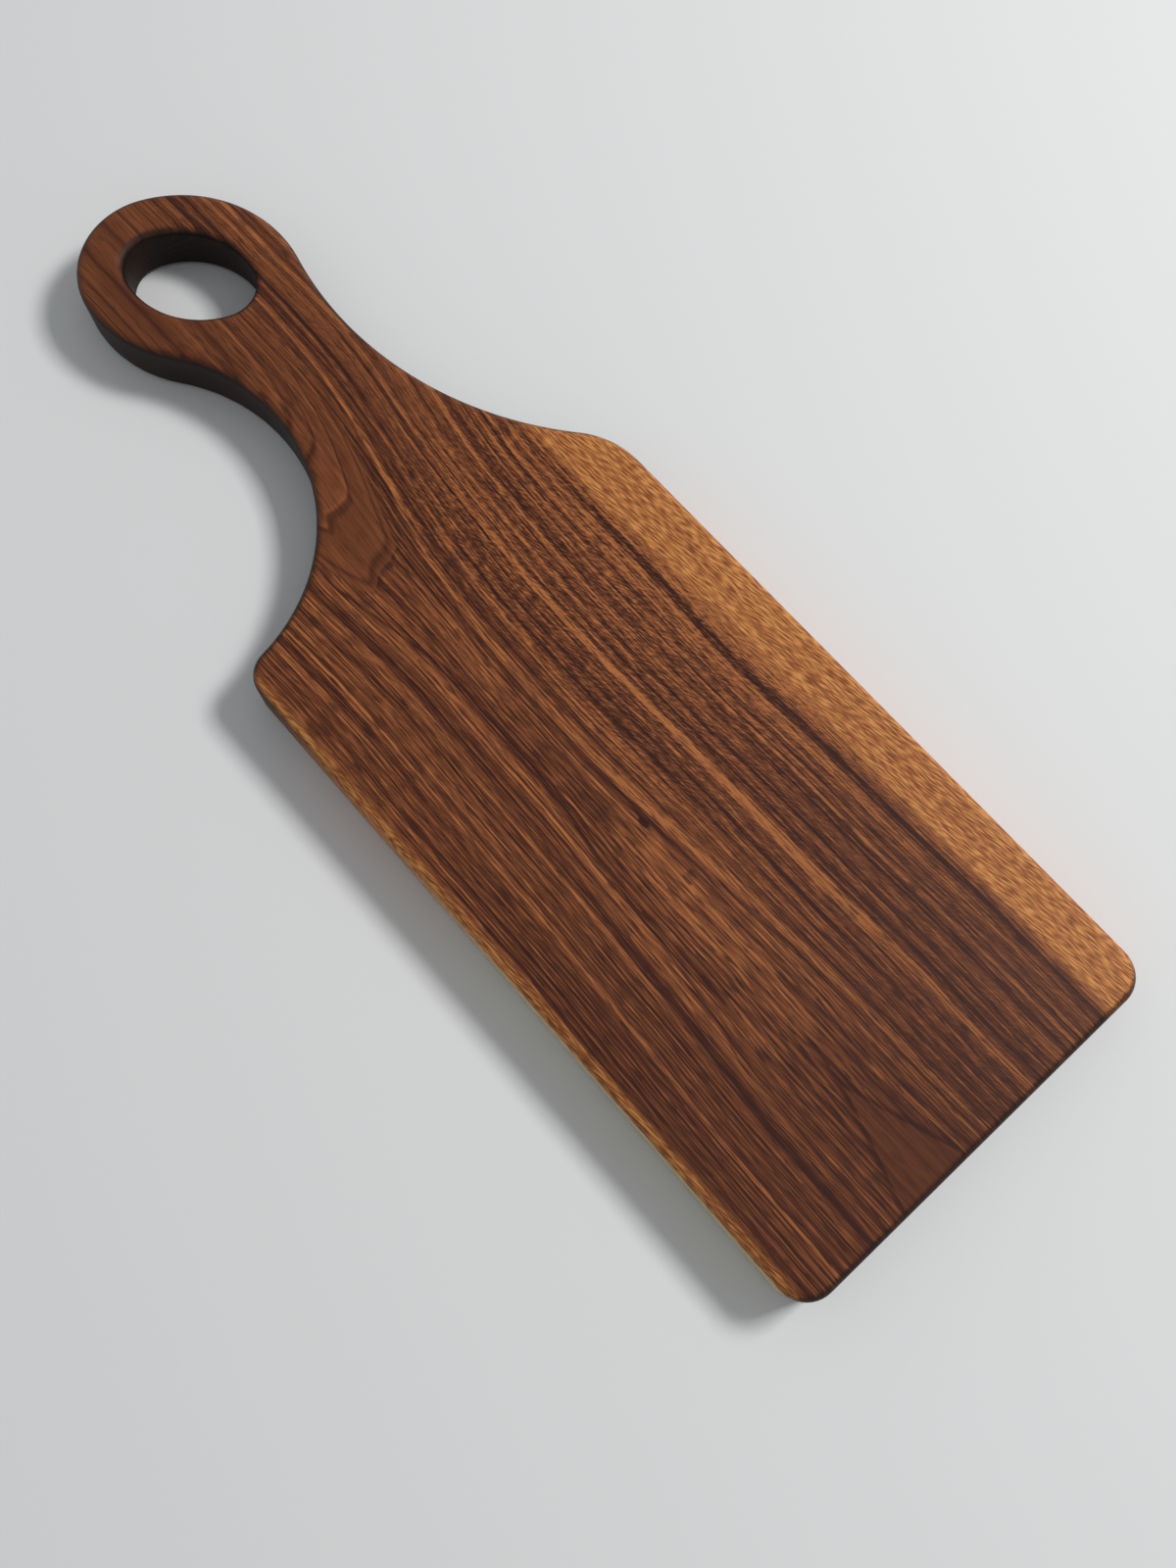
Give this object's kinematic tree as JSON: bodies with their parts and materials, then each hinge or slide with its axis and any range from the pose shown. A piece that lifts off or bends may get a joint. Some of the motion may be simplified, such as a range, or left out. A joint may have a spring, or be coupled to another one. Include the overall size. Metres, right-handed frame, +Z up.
{
  "type": "paddle charcuterie board",
  "caption": "One-piece wooden paddle serving board with a long rectangular blade, uneven curved shoulders and a slanted ring handle with an oval finger hole.",
  "frame": {"origin": "centre of the overall length and of the blade's width, on the plane that the board rests on", "axes": "+X from the ring handle to the blade end, +Y towards the edge with the sloping shoulder, +Z up out of the serving face"},
  "size_m": [0.442, 0.152, 0.02],
  "materials": {
    "walnut": "satin oiled flat-sawn walnut, dark heartwood with a pale sapwood edge"
  },
  "bodies": {
    "root": {"board": "walnut"}
  },
  "joints": []
}
